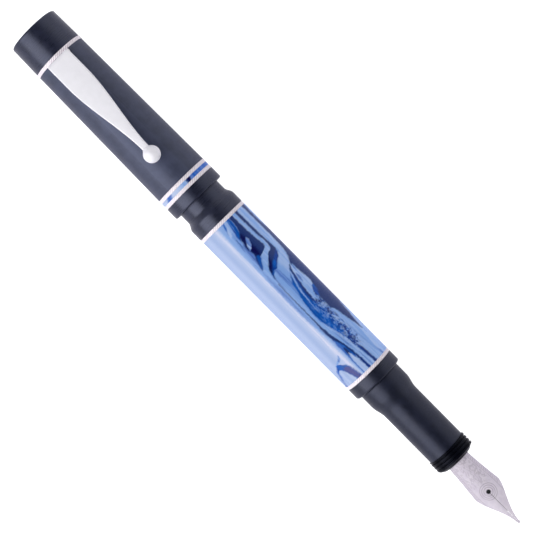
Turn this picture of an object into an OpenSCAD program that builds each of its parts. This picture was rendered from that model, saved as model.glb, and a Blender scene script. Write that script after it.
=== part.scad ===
// Fountain pen with its cap posted on the tail of its barrel.
// The pen lies along X: the nib is at +X, the clip and the top of the nib are at +Z.
// The origin is on the surface that the pen lies on, under the middle of its length.

/* [Cap] */
// Length of the finial that closes the cap
finial_l = 9.85; // [8:0.05:12]
// Diameter of the finial at its closed end
finial_end_d = 15.0; // [14.6:0.05:15.3]
// Diameter of the cap at the clip ring
cap_top_d = 15.35; // [15.2:0.05:15.6]
// Thickness of the clip ring
clip_ring_l = 1.0; // [0.6:0.1:1.4]
// Length of the black cap tube
cap_tube_l = 45.4; // [44:0.1:48]
// Diameter of the cap tube at its wide end
cap_wide_d = 16.35; // [16.1:0.05:16.6]
// Length of the blue inlay in the cap band
inlay_l = 1.1; // [0.8:0.1:2.5]
// Length of each thin silver trim ring, on the cap and on the barrel
trim_l = 1.05; // [0.6:0.05:1.4]
// Length of the black lip round the cap's mouth
lip_l = 3.5; // [2.5:0.1:5]
// Diameter of the lip, the widest place on the pen
lip_d = 16.45; // [16.3:0.05:16.9]

/* [Clip] */
// Distance from the clip ring to the middle of the ball
clip_reach = 35.6; // [30:0.1:38]
// Width of the clip at its root
clip_w = 7.3; // [6:0.1:8]
// Width of the clip's neck, just behind the ball
clip_neck_w = 1.95; // [1.6:0.05:2.6]
// Thickness of the clip's strip
clip_t = 0.9; // [0.7:0.05:1.1]
// Diameter of the ball that grips the cloth
ball_d = 4.74; // [4:0.02:5.4]
// Angle that the clip springs open by, in degrees
clip_lift = 4; // [1:0.5:4]

/* [Barrel] */
// Diameter of the swirled sleeve and of the collars beside it
barrel_d = 15.3; // [15.1:0.05:15.5]
// Length of the swirled sleeve
sleeve_l = 54.0; // [52:0.1:60]
// Length of the black collar at the front of the barrel
collar_l = 3.6; // [2.5:0.1:4.5]
// Length of the black collar at the back of the barrel
tail_collar_l = 3.2; // [2.5:0.1:4.5]
// Length of the curved flare behind that collar
flare_l = 2.4; // [2:0.1:3.2]
// Diameter of the tail that the cap is posted on
tail_d = 13.35; // [13.2:0.05:13.5]
// Length of the tail that stays in view when the cap is posted
neck_l = 2.9; // [2:0.1:5]
// Length of the tail inside the posted cap
stub_l = 12; // [8:0.5:16]

/* [Section] */
// Diameter of the shoulder next to the barrel
shoulder_d = 12.9; // [12.5:0.05:13.2]
// Length of that shoulder
shoulder_l = 4.9; // [4:0.1:6]
// Length of the taper between the shoulder and the grip
taper_l = 3.5; // [2.5:0.1:4.5]
// Diameter of the grip
grip_d = 11.47; // [11.3:0.01:11.6]
// Length of the grip
grip_l = 17.3; // [15:0.1:18]
// Length of the thread that the cap screws on to
thread_l = 3.6; // [3.2:0.1:4]
// Diameter over the crests of that thread
thread_d = 12.15; // [12:0.05:12.3]
// Length of the chamfered nose
nose_l = 0.8; // [0.6:0.1:1.2]
// Diameter of the nose at its front
nose_d = 9.4; // [9:0.1:10]

/* [Nib] */
// Length of nib that shows
nib_l = 23.7; // [21:0.1:24]
// Width of the nib where it leaves the section
nib_base_w = 6.7; // [6.5:0.1:6.7]
// Width of the nib over its shoulders
nib_w = 8.7; // [8:0.05:9]
// Distance from the nose to the nib's shoulders
nib_shoulder = 11.4; // [10:0.1:13]
// Diameter of the breather hole
breather_d = 1.2; // [0.8:0.05:1.5]

/* [Converter] */
// Length of the ink converter
converter_l = 73; // [70:0.5:76]
// Diameter of the converter's tube
converter_d = 7.2; // [7:0.1:7.4]
// Length of the converter's knob
knob_l = 12; // [9:0.5:13]
// Travel of the piston
piston_travel = 20; // [14:1:20]

/* [Hidden] */
$fn = 96;

// Radial gaps: a running fit, and the room between parts that only pass each other
running_gap = 0.05;
loose_gap = 0.3;
// Gap between parts that meet end to end without being joined
end_gap = 0.15;

// Stations along X, from the closed end of the cap to the tip of the nib
pen_l = finial_l + clip_ring_l + cap_tube_l + 2 * trim_l + inlay_l + lip_l
  + neck_l + flare_l + tail_collar_l + 2 * trim_l + sleeve_l + collar_l
  + shoulder_l + taper_l + grip_l + thread_l + nose_l + nib_l;
finial_x = -pen_l / 2;
clip_ring_x = finial_x + finial_l;
cap_tube_x = clip_ring_x + clip_ring_l;
band_x = cap_tube_x + cap_tube_l;
inlay_x = band_x + trim_l;
lower_ring_x = inlay_x + inlay_l;
lip_x = lower_ring_x + trim_l;
mouth_x = lip_x + lip_l;
flare_x = mouth_x + neck_l;
tail_collar_x = flare_x + flare_l;
rear_ring_x = tail_collar_x + tail_collar_l;
sleeve_x = rear_ring_x + trim_l;
front_ring_x = sleeve_x + sleeve_l;
collar_x = front_ring_x + trim_l;
step_x = collar_x + collar_l;
taper_x = step_x + shoulder_l;
grip_x = taper_x + taper_l;
thread_x = grip_x + grip_l;
nose_x = thread_x + thread_l;
nose_end_x = nose_x + nose_l;
tip_x = nose_end_x + nib_l;

// Height of the pen's axis over the surface that its lip rests on
axis_z = lip_d / 2;

// Inside the cap: the mouth's bore, the finial's stud and the inner cap
mouth_r = tail_d / 2 + running_gap;
stud_r = 6.4;
stud_l = 8.9;
inner_cap_r = 5.88;
inner_cap_wall = 0.58;
inner_cap_end = 0.8;
glue_gap = 0.04;
nib_room = 0.5;
seal_lap = 0.1;
section_l = shoulder_l + taper_l + grip_l + thread_l + nose_l;
capped_l = section_l + nib_l;
inner_cap_x = mouth_x - capped_l - inner_cap_end - nib_room;
inner_cap_mouth_x = mouth_x - section_l + seal_lap;
insert_l = 4.1;
insert_x = mouth_x - section_l + nose_l;
seat_x = insert_x - loose_gap;
thread_bite = 0.22;
thread_room = 0.08;
insert_minor_r = thread_d / 2 - thread_bite;
insert_major_r = thread_d / 2 + thread_room;
band_tenon_r = 7.3;
ring_sunk = 0.01;
band_ring_r = lip_d / 2 - ring_sunk;
lip_seat_l = 1.5;

// Clip: heights are over the pen's axis
cap_r_at_ball = cap_top_d / 2 + (cap_wide_d - cap_top_d) / 2 * clip_reach / cap_tube_l;
ball_z = cap_r_at_ball + end_gap + ball_d / 2;
blade_gap = 0.9;
blade_z = cap_top_d / 2 + blade_gap;
tab_l = 1.0;
tab_r = 7.0;
slot_r = tab_r - 0.1;
// The outline keeps its root width up to taper_start and reaches its neck at taper_end
taper_start = 7.6;
taper_end = 33.8;
outline_steps = 14;

// Barrel: the liner joins the sleeve, the trim rings and the two black ends
liner_r = 6.5;
liner_wall = 0.5;
tenon_gap = 0.02;
tenon_r = liner_r - liner_wall - tenon_gap;
barrel_tenon_l = 9;
tail_bore_r = 4.5;
tail_end_wall = 3.8;
tail_x = mouth_x - stub_l;

// Section: the tenon screws into the barrel's collar, and the bores hold converter and housing
tenon_thread_r = 5.0;
tenon_root_r = 4.7;
tenon_l = 9;
converter_bore_r = converter_d / 2 + loose_gap;
housing_r = 3.7;
housing_l = 13.7;
housing_end_wall = 1.2;
nose_recess = 0.3;
housing_x = nose_end_x - nose_recess - housing_l;
nose_tenon_r = 4.75;
nose_tenon_l = 6;
nipple_r = 1.25;
nipple_l = 5.5;
nipple_bore_r = 0.5;
nipple_bevel = 0.3;

// Nib: the visible part lies on a cone whose axis dips towards the back
nib_t = 0.32;
nib_r = nib_base_w / 2;
nib_hidden_l = 11.5;
nib_tip_z = 1.2;
nib_tip_r = 5.95;
nib_dip = atan((nib_tip_r - nib_tip_z) / nib_l);
cone_back = 1.5;
nib_overlap = 0.6;
nib_point_w = 0.75;
nib_swell = 1.25;
nib_fall = 0.8;
breather_x = nose_end_x + nib_shoulder + loose_gap;
slit_w = 0.12;
tipping_d = 0.9;
tipping_lap = 0.05;

// Feed: radius, height over the axis and flattening at its middle and at its tip
feed_r = nib_r - nib_t - running_gap;
feed_show = 19;
feed_mid = 3.5;
feed_mid_r = feed_r - 0.1;
feed_mid_z = -0.35;
feed_tip_r = 0.9;
feed_tip_z = 0.7;
feed_tip_k = 0.5;
fin_count = 9;
fin_pitch = 1.05;
fin_slot = 0.5;
fin_core = 0.9;
fin_start = 0.6;
slice_t = 0.1;

// Converter
mouth_seal_x = housing_x - loose_gap;
converter_x = mouth_seal_x - converter_l;
knob_end_x = converter_x + knob_l;
tube_x = knob_end_x + loose_gap;
tube_wall = 0.9;
tube_bore_r = converter_d / 2 - tube_wall;
ferrule_l = 14;
ferrule_proud = 0.14;
ferrule_sunk = 0.12;
ferrule_r = converter_d / 2 + ferrule_proud;
ferrule_seat_r = converter_d / 2 - ferrule_sunk;
seal_l = 4;
nipple_room = 0.2;
chamber_end_x = mouth_seal_x - nipple_l - nipple_room;
chamber_cone_l = 1;
seal_x = chamber_end_x - chamber_cone_l - loose_gap - piston_travel - seal_l;
rod_l = 27;
rod_r = 2.1;
screw_r = 1.1;
rod_end_wall = 0.8;
screw_room = 0.4;
knob_wall = 3;
knob_neck_l = 2.4;

// Points along a quarter or any other arc about [x, r], from angle a to angle b
arc_steps = 6;
function arc(x, r, rad, a, b) =
  [for (i = [0:arc_steps]) let (t = a + (b - a) * i / arc_steps) [x + rad * cos(t), r + rad * sin(t)]];

// Outline of n ring-shaped thread ridges, from x on, between two radii: each rises, is flat and falls
ridge_rise = 0.3;
ridge_top = 0.55;
ridge_fall = 0.85;
function ridges(x, n, pitch, root, crest) =
  [for (i = [0:n - 1]) each [
    [x + i * pitch, root],
    [x + (i + ridge_rise) * pitch, crest],
    [x + (i + ridge_top) * pitch, crest],
    [x + (i + ridge_fall) * pitch, root]]];

// Smooth step from 0 to 1
function smooth(t) = let (u = min(max(t, 0), 1)) u * u * (3 - 2 * u);

// Half width of the clip at distance d from its root
function clip_half(d) =
  (clip_w - (clip_w - clip_neck_w) * smooth((d - taper_start) / (taper_end - taper_start))) / 2;

// Half width of the nib at distance d from the nose: nearly straight to the shoulder, then a hollow taper
function nib_half(d) = d < nib_shoulder
  ? (nib_base_w + (nib_w - nib_base_w) * pow(max(d, 0) / nib_shoulder, nib_swell)) / 2
  : let (u = (d - nib_shoulder) / (nib_l - nib_shoulder))
    nib_point_w / 2 + (nib_w - nib_point_w) / 2 * (1 - smooth(pow(u, nib_fall)));

// Turns a closed outline of [x, radius] points about the pen's axis
module turned(points) {
  translate([0, 0, axis_z])
    rotate([0, 90, 0])
      rotate_extrude()
        polygon([for (p = points) [p[1], p[0]]]);
}

// Plain tube between two stations
module sleeve(x0, x1, r_in, r_out) {
  turned([[x0, r_in], [x1, r_in], [x1, r_out], [x0, r_out]]);
}

// Solid rod along the axis
module rod(x0, x1, r) {
  translate([x0, 0, axis_z])
    rotate([0, 90, 0])
      cylinder(r = r, h = x1 - x0);
}

// Upright prism over an outline in X and Y
module upright(points) {
  linear_extrude(height = 4 * lip_d)
    polygon(points);
}

// Prism across the pen, over an outline in X and height above the axis
module crosswise(points) {
  translate([0, lip_d, axis_z])
    rotate([90, 0, 0])
      linear_extrude(height = 2 * lip_d)
        polygon(points);
}

// ---- Cap ----

module cap_finial() {
  edge = 0.9;
  dome = 0.4;
  end_r = finial_end_d / 2;
  color("#23262f")
    turned(concat(
      [[inner_cap_x - glue_gap, 0], [finial_x, 0], [finial_x + dome / 4, end_r / 2]],
      arc(finial_x + edge + dome / 2, end_r - edge, edge, 180, 90),
      [[clip_ring_x, cap_top_d / 2], [clip_ring_x, stud_r], [clip_ring_x + stud_l, stud_r],
        [clip_ring_x + stud_l, inner_cap_r + glue_gap],
        [inner_cap_x - glue_gap, inner_cap_r + glue_gap]]));
}

module clip_ring() {
  proud = 0.1;
  bevel = 0.15;
  r = cap_top_d / 2 + proud;
  color("silver")
    turned([[clip_ring_x, stud_r], [cap_tube_x, stud_r], [cap_tube_x, r - bevel],
      [cap_tube_x - bevel, r], [clip_ring_x + bevel, r], [clip_ring_x, r - bevel]]);
}

// One strip with a tab at its root, which a slot in the cap tube holds, and a ball at its end
module clip() {
  root_x = cap_tube_x + end_gap;
  reach = clip_reach - end_gap;
  bend = 0.4;
  side = [for (i = [0:outline_steps]) let (d = reach * i / outline_steps) [root_x + d, clip_half(d)]];
  other_side = [for (i = [outline_steps:-1:0]) [side[i][0], -side[i][1]]];
  color("gainsboro")
    difference() {
      union() {
        intersection() {
          upright(concat(side, other_side));
          crosswise([[root_x, 0], [root_x, blade_z + clip_t - bend], [root_x + bend, blade_z + clip_t],
            [root_x + reach, ball_z + clip_t / 2], [root_x + reach, ball_z - clip_t / 2],
            [root_x + tab_l + bend, blade_z], [root_x + tab_l, blade_z - bend], [root_x + tab_l, 0]]);
        }
        translate([root_x + reach, 0, axis_z + ball_z])
          sphere(d = ball_d);
      }
      rod(root_x - 1, root_x + reach + ball_d, tab_r);
    }
}

module cap_tube() {
  slot_l = tab_l + 3 * end_gap;
  slot_w = clip_w + 2 * end_gap;
  color("#2b2e3a")
    difference() {
      turned([[cap_tube_x, stud_r + glue_gap], [cap_tube_x, cap_top_d / 2], [band_x, cap_wide_d / 2],
        [band_x, band_tenon_r], [lip_x + lip_seat_l, band_tenon_r], [lip_x + lip_seat_l, mouth_r],
        [seat_x, mouth_r], [seat_x, inner_cap_r + glue_gap],
        [clip_ring_x + stud_l + end_gap, inner_cap_r + glue_gap],
        [clip_ring_x + stud_l + end_gap, stud_r + glue_gap]]);
      difference() {
        translate([cap_tube_x - slot_l, -slot_w / 2, axis_z])
          cube([2 * slot_l, slot_w, cap_top_d]);
        rod(cap_tube_x - 2 * slot_l, cap_tube_x + 2 * slot_l, slot_r);
      }
    }
}

// The two silver rings and the inlay slide over the tube's tenon
module band_ring(x, l, r) {
  bevel = 0.1;
  turned([[x, band_tenon_r], [x + l, band_tenon_r], [x + l, r - bevel], [x + l - bevel, r],
    [x + bevel, r], [x, r - bevel]]);
}

module cap_band_upper_ring() {
  color("silver") band_ring(band_x, trim_l, band_ring_r);
}

module cap_band_inlay() {
  color("#4f86c4") band_ring(inlay_x, inlay_l, cap_wide_d / 2 + tenon_gap);
}

module cap_band_lower_ring() {
  color("silver") band_ring(lower_ring_x, trim_l, band_ring_r);
}

module cap_lip() {
  edge = 0.35;
  r = lip_d / 2;
  color("#23262f")
    turned(concat(
      [[lip_x, band_tenon_r + glue_gap], [lip_x, r]],
      arc(mouth_x - edge, r - edge, edge, 90, 0),
      [[mouth_x, mouth_r + edge], [mouth_x - edge, mouth_r], [lip_x + lip_seat_l + glue_gap, mouth_r],
        [lip_x + lip_seat_l + glue_gap, band_tenon_r + glue_gap]]));
}

module cap_thread_insert() {
  r = mouth_r - glue_gap;
  ridge_n = 4;
  color("#1a1c24")
    turned(concat(
      [[insert_x + insert_l, r], [insert_x, r]],
      ridges(insert_x, ridge_n, insert_l / ridge_n, insert_major_r, insert_minor_r),
      [[insert_x + insert_l, insert_major_r]]));
}

module inner_cap() {
  r_in = inner_cap_r - inner_cap_wall;
  color("#15161b")
    turned([[inner_cap_x, 0], [inner_cap_x, inner_cap_r], [inner_cap_mouth_x, inner_cap_r],
      [inner_cap_mouth_x, r_in], [inner_cap_x + inner_cap_end, r_in], [inner_cap_x + inner_cap_end, 0]]);
}

// ---- Barrel ----

module barrel_tail() {
  r_neck = tail_d / 2;
  r_full = barrel_d / 2;
  tenon_x = rear_ring_x + barrel_tenon_l;
  edge = 1.2;
  flare_steps = 8;
  color("#23262f")
    turned(concat(
      [[tail_x, 0]],
      arc(tail_x + edge, r_neck - edge, edge, 180, 90),
      [for (i = [0:flare_steps]) let (t = i / flare_steps)
        [flare_x + flare_l * t, r_neck + (r_full - r_neck) * smooth(t)]],
      [[rear_ring_x, r_full], [rear_ring_x, tenon_r], [tenon_x, tenon_r], [tenon_x, tail_bore_r],
        [tail_x + tail_end_wall, tail_bore_r], [tail_x + tail_end_wall, 0]]));
}

module barrel_ring(x) {
  bevel = 0.1;
  r = barrel_d / 2 - ring_sunk;
  turned([[x, liner_r], [x + trim_l, liner_r], [x + trim_l, r - bevel], [x + trim_l - bevel, r],
    [x + bevel, r], [x, r - bevel]]);
}

module barrel_rear_ring() {
  color("silver") barrel_ring(rear_ring_x);
}

module barrel_sleeve() {
  color("#86a9dc") sleeve(sleeve_x, front_ring_x, liner_r + glue_gap, barrel_d / 2);
}

module barrel_front_ring() {
  color("silver") barrel_ring(front_ring_x);
}

module barrel_collar() {
  edge = 0.5;
  r = barrel_d / 2;
  bore_r = tenon_thread_r + running_gap;
  tenon_x = collar_x - barrel_tenon_l;
  color("#23262f")
    turned(concat(
      [[tenon_x, bore_r], [tenon_x, tenon_r], [collar_x, tenon_r], [collar_x, r]],
      arc(step_x - edge, r - edge, edge, 90, 0),
      [[step_x, bore_r]]));
}

module barrel_liner() {
  color("goldenrod") sleeve(rear_ring_x, collar_x, liner_r - liner_wall, liner_r);
}

// ---- Section and nib unit ----

module section_grip() {
  tenon_x = step_x - tenon_l;
  ridge_n = 6;
  lead_in = 1.2;
  round_l = 1.6;
  r_shoulder = shoulder_d / 2;
  r_grip = grip_d / 2;
  taper_steps = 8;
  bevel = 0.2;
  color("#262934")
    turned(concat(
      [[tenon_x, converter_bore_r], [tenon_x, tenon_root_r]],
      ridges(tenon_x + lead_in, ridge_n, (tenon_l - 2 * lead_in) / ridge_n, tenon_root_r, tenon_thread_r),
      [[step_x, tenon_root_r], [step_x, r_shoulder - bevel], [step_x + bevel, r_shoulder]],
      [for (i = [0:taper_steps]) let (t = i / taper_steps)
        [taper_x - round_l / 2 + (taper_l + round_l / 2) * t,
          r_shoulder - (r_shoulder - r_grip) * smooth(t)]],
      [[thread_x, r_grip], [thread_x, nose_tenon_r + glue_gap],
        [thread_x - nose_tenon_l, nose_tenon_r + glue_gap], [thread_x - nose_tenon_l, housing_r + running_gap],
        [housing_x - loose_gap, housing_r + running_gap], [housing_x - loose_gap, converter_bore_r]]));
}

// Threaded bush at the front of the section
module section_nose() {
  ridge_n = 4;
  root_r = grip_d / 2 - tenon_gap;
  bore_r = housing_r + running_gap;
  color("#12141a")
    turned(concat(
      [[thread_x - nose_tenon_l + glue_gap, bore_r], [thread_x - nose_tenon_l + glue_gap, nose_tenon_r],
        [thread_x, nose_tenon_r]],
      ridges(thread_x, ridge_n, thread_l / ridge_n, root_r, thread_d / 2),
      [[nose_x, root_r], [nose_end_x, nose_d / 2], [nose_end_x, bore_r]]));
}

// Collar that holds nib and feed, with the nipple that pierces or enters the ink supply
module nib_housing() {
  grip_r = nib_r + running_gap;
  color("#15161b")
    turned([[housing_x - nipple_l, nipple_bore_r],
      [housing_x - nipple_l, nipple_r - nipple_bevel],
      [housing_x - nipple_l + nipple_bevel, nipple_r],
      [housing_x, nipple_r], [housing_x, housing_r],
      [housing_x + housing_l, housing_r], [housing_x + housing_l, grip_r],
      [housing_x + housing_end_wall, grip_r], [housing_x + housing_end_wall, nipple_bore_r]]);
}

// The cone that the visible part of the nib is cut from, made thinner by an inset
module nib_cone(inset) {
  slope = (nib_tip_r - nib_r) / nib_l;
  h = nib_l + 2 * cone_back;
  r_back = nib_r - inset - slope * cone_back;
  translate([nose_end_x, 0, axis_z])
    rotate([0, 90 + nib_dip, 0])
      translate([0, 0, -cone_back])
        cylinder(r1 = r_back, r2 = r_back + slope * h, h = h);
}

// A rod behind the nose, full round below, and in front of it a tongue that stays inside the nib
module feed() {
  x0 = housing_x + housing_end_wall + glue_gap;
  color("#1b1d22")
    difference() {
      union() {
        rod(x0, nose_end_x, feed_r);
        intersection() {
          rod(x0, nose_end_x - nib_overlap, nib_r);
          crosswise([[x0, -glue_gap], [nose_end_x, -glue_gap], [nose_end_x, -lip_d], [x0, -lip_d]]);
        }
        hull() {
          feed_slice(nose_end_x - slice_t, feed_r - tenon_gap, 0, 1);
          feed_slice(nose_end_x + feed_mid, feed_mid_r, feed_mid_z, 1);
          feed_slice(nose_end_x + feed_show, feed_tip_r, feed_tip_z, feed_tip_k);
        }
      }
      for (i = [0:fin_count - 1])
        translate([nose_end_x + fin_start + i * fin_pitch, -lip_d / 2, axis_z - lip_d])
          cube([fin_slot, lip_d, lip_d - fin_core]);
    }
}

// Thin disc across the pen, with its middle at height z over the axis, and flattened by k
module feed_slice(x, r, z, k) {
  translate([x, 0, axis_z + z])
    rotate([0, 90, 0])
      scale([k, 1, 1])
        cylinder(r = r, h = slice_t, $fn = 40);
}

module nib() {
  back_x = nose_end_x - nib_hidden_l;
  steps = 24;
  side = concat([[nose_end_x - nib_overlap, nib_half(0)]],
    [for (i = [0:steps]) let (d = nib_l * i / steps) [nose_end_x + d, nib_half(d)]]);
  other_side = [for (i = [len(side) - 1:-1:0]) [side[i][0], -side[i][1]]];
  color("lightgray")
    difference() {
      union() {
        intersection() {
          sleeve(back_x, nose_end_x, nib_r - nib_t, nib_r);
          crosswise([[back_x, 0], [nose_end_x, 0], [nose_end_x, lip_d], [back_x, lip_d]]);
        }
        intersection() {
          difference() {
            nib_cone(0);
            nib_cone(nib_t);
          }
          upright(concat(side, other_side));
          crosswise([[nose_end_x - nib_overlap, -nib_w / 4], [tip_x, -nib_w / 4], [tip_x, lip_d],
            [nose_end_x - nib_overlap, lip_d]]);
        }
      }
      translate([breather_x, 0, 0])
        cylinder(d = breather_d, h = 2 * lip_d);
      translate([breather_x, -slit_w / 2, 0])
        cube([nib_l, slit_w, 2 * lip_d]);
    }
}

// Two halves of a hard pellet, one on each tine
module nib_tipping() {
  color("white")
    difference() {
      translate([tip_x - tipping_d / 2, 0, axis_z + nib_tip_z - nib_t - tipping_d / 2 + tipping_lap])
        sphere(d = tipping_d);
      translate([tip_x - nib_l, -slit_w / 2, 0])
        cube([2 * nib_l, slit_w, 2 * lip_d]);
    }
}

// ---- Converter ----

module converter_tube() {
  r = converter_d / 2;
  mouth_bore_r = nipple_r + glue_gap;
  mouth_l = 2.5;
  mouth_taper = 0.5;
  color("#dfe8ee", 0.4)
    turned([[tube_x, tube_bore_r], [tube_x, ferrule_seat_r], [tube_x + ferrule_l, ferrule_seat_r],
      [tube_x + ferrule_l, r], [mouth_seal_x - mouth_l, r], [mouth_seal_x, r - mouth_taper],
      [mouth_seal_x, mouth_bore_r], [chamber_end_x, mouth_bore_r],
      [chamber_end_x - chamber_cone_l, tube_bore_r]]);
}

module converter_ferrule() {
  bead = 0.12;
  bead_l = 1;
  bevel = 0.2;
  color("silver")
    turned([[tube_x, ferrule_seat_r + glue_gap], [tube_x + ferrule_l - glue_gap, ferrule_seat_r + glue_gap],
      [tube_x + ferrule_l - glue_gap, ferrule_r], [tube_x + ferrule_l - bead_l, ferrule_r + bead],
      [tube_x + ferrule_l - 2 * bead_l, ferrule_r], [tube_x + bevel, ferrule_r],
      [tube_x, ferrule_r - bevel]]);
}

// The knob's neck turns in the back of the tube
module converter_knob() {
  r = converter_d / 2 - nipple_room;
  edge = 0.6;
  neck_x = knob_end_x + knob_neck_l;
  neck_r = tube_bore_r - running_gap;
  color("#1b1d22")
    turned(concat(
      [[converter_x, 0]],
      arc(converter_x + edge, r - edge, edge, 180, 90),
      [[knob_end_x, r], [knob_end_x, neck_r], [neck_x, neck_r], [neck_x, screw_r],
        [converter_x + knob_wall, screw_r], [converter_x + knob_wall, 0]]));
}

// The screw is fixed in the knob and drives the rod
module piston_screw() {
  color("darkgray") rod(converter_x + knob_wall, seal_x - rod_end_wall - screw_room, screw_r - tenon_gap);
}

module piston_rod() {
  bore_r = screw_r + running_gap;
  color("#d8d8d4")
    turned([[seal_x - rod_l, bore_r], [seal_x - rod_l, rod_r], [seal_x, rod_r], [seal_x, 0],
      [seal_x - rod_end_wall, 0], [seal_x - rod_end_wall, bore_r]]);
}

module piston_seal() {
  r = tube_bore_r - tenon_gap;
  lip = 0.8;
  waist = 0.3;
  bevel = 0.2;
  color("#202226")
    turned([[seal_x, 0], [seal_x, r], [seal_x + lip, r], [seal_x + 2 * lip, r - waist],
      [seal_x + seal_l - 2 * lip, r - waist], [seal_x + seal_l - lip, r], [seal_x + seal_l, r - bevel],
      [seal_x + seal_l, 0]]);
}

cap_finial();
clip_ring();
clip();
cap_tube();
cap_band_upper_ring();
cap_band_inlay();
cap_band_lower_ring();
cap_lip();
cap_thread_insert();
inner_cap();
barrel_tail();
barrel_rear_ring();
barrel_sleeve();
barrel_front_ring();
barrel_collar();
barrel_liner();
section_grip();
section_nose();
nib_housing();
feed();
nib();
nib_tipping();
converter_tube();
converter_ferrule();
converter_knob();
piston_screw();
piston_rod();
piston_seal();
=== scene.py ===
"""Looks of a posted fountain pen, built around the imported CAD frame."""
import math

import bmesh
import bpy
from mathutils import Matrix, Vector


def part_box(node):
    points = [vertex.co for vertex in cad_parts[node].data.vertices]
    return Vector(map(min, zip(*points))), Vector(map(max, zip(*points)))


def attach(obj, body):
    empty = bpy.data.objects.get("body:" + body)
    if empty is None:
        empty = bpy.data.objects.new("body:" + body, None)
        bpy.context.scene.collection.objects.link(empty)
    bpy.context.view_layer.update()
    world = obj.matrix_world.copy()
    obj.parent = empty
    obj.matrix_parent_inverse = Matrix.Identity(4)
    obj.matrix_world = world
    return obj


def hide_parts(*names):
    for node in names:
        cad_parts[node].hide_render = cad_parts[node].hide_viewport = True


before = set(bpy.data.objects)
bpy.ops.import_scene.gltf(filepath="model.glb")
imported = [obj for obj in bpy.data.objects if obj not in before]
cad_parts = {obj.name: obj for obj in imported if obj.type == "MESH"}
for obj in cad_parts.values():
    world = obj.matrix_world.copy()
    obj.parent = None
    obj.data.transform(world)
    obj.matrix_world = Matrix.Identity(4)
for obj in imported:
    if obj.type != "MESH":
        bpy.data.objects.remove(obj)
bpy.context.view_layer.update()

MM = 0.001
TURN = 2 * math.pi

# ---- Sizes: stations along X and radii, from the frame, and the few that it doesn't tell ----


def start(node):
    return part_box(node)[0].x


def end(node):
    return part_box(node)[1].x


def radius(node):
    low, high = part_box(node)
    return (high.y - low.y) / 2


AXIS_Z = sum(corner.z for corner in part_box("barrel_sleeve")) / 2
CAP_TOP_R = radius("cap_finial")
CAP_WIDE_R = 8.175 * MM
FINIAL_END_R = 7.5 * MM
STUD_R = 6.4 * MM
GLUE_GAP = 0.04 * MM
BAND_BORE_R = 7.3 * MM
TAIL_R = 6.675 * MM
MOUTH_R = TAIL_R + 0.05 * MM
BARREL_R = radius("barrel_sleeve")
LINER_R = radius("barrel_liner")
TENON_R = LINER_R - 0.52 * MM
TENON_L = 9 * MM
TAIL_BORE_R = 4.5 * MM
TAIL_WALL = 3.8 * MM
FLARE_L = 2.4 * MM
SHOULDER_R = radius("section_grip")
SHOULDER_L = 4.9 * MM
TAPER_L = 3.5 * MM
GRIP_R = 5.735 * MM
SECTION_THREAD_R = 5.0 * MM
SECTION_ROOT_R = 4.7 * MM
COLLAR_BORE_R = SECTION_THREAD_R + 0.05 * MM
CONVERTER_BORE_R = 3.9 * MM
HOUSING_BORE_R = radius("nib_housing") + 0.05 * MM
NOSE_TENON_R = 4.75 * MM
NOSE_TENON_L = 6 * MM
NOSE_L = 0.8 * MM
NOSE_R = 4.7 * MM
THREAD_R = radius("section_nose")
NOSE_X = end("section_nose")
NIB_L = end("nib") - NOSE_X
NIB_R = 3.35 * MM
NIB_TIP_R = 5.95 * MM
NIB_TIP_Z = 1.2 * MM
NIB_T = 0.32 * MM
NIB_W = 8.7 * MM
NIB_POINT_W = 0.75 * MM
NIB_SHOULDER = 11.4 * MM
NIB_SWELL = 1.25
NIB_FALL = 0.8
NIB_EDGE = 0.07 * MM
NIB_DIP = math.atan2(NIB_TIP_R - NIB_TIP_Z, NIB_L)
BREATHER_X = NOSE_X + NIB_SHOULDER + 0.3 * MM
BREATHER_R = 0.6 * MM
BREATHER_HEIGHT = 2.6 * MM
SLIT_W = 0.12 * MM
ROPE_STRANDS = 66
ROPE_PITCH = TURN * BARREL_R / ROPE_STRANDS
ROPE_SLANT = 1.0


# ---- Mesh tools ----

def placed(name, data):
    """A new object of the scene."""
    made = bpy.data.objects.new(name, data)
    bpy.context.scene.collection.objects.link(made)
    return made


def mesh_of(name, built):
    """Mesh of a bmesh, with its faces turned outwards."""
    bmesh.ops.recalc_face_normals(built, faces=built.faces)
    mesh = bpy.data.meshes.new(name)
    built.to_mesh(mesh)
    built.free()
    return mesh


def finish_mesh(name, built, body, slot, *replaced, sharp=35):
    """Turns a bmesh into a smooth-shaded piece that rides on a body and stands for CAD nodes."""
    mesh = mesh_of(name, built)
    mesh.shade_smooth()
    mesh.set_sharp_from_angle(angle=math.radians(sharp))
    piece = placed(name, mesh)
    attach(piece, body)
    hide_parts(*replaced)
    return piece


def rounded(corners, steps=6):
    """Outline of (x, r) points from corners (x, r), and corners (x, r, fillet) turned into arcs."""
    points = []
    for i, (x, r, *fillet) in enumerate(corners):
        corner = Vector((x, r))
        if not fillet:
            points.append(tuple(corner))
            continue
        before = Vector(corners[i - 1][:2]) - corner
        after = Vector(corners[(i + 1) % len(corners)][:2]) - corner
        half = before.angle(after) / 2
        reach = min(fillet[0] / math.tan(half), 0.48 * before.length, 0.48 * after.length)
        first = corner + before.normalized() * reach
        last = corner + after.normalized() * reach
        weight = math.sin(half)
        for k in range(steps + 1):
            t = k / steps
            a, b, c = (1 - t) ** 2, 2 * t * (1 - t) * weight, t * t
            points.append(tuple((first * a + corner * b + last * c) / (a + b + c)))
    return points


def smooth(t):
    t = min(max(t, 0), 1)
    return t * t * (3 - 2 * t)


def s_curve(x0, x1, r0, r1, steps=14):
    """Corners of a smooth change of radius between two stations."""
    return [(x0 + (x1 - x0) * k / steps, r0 + (r1 - r0) * smooth(k / steps)) for k in range(steps + 1)]


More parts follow.
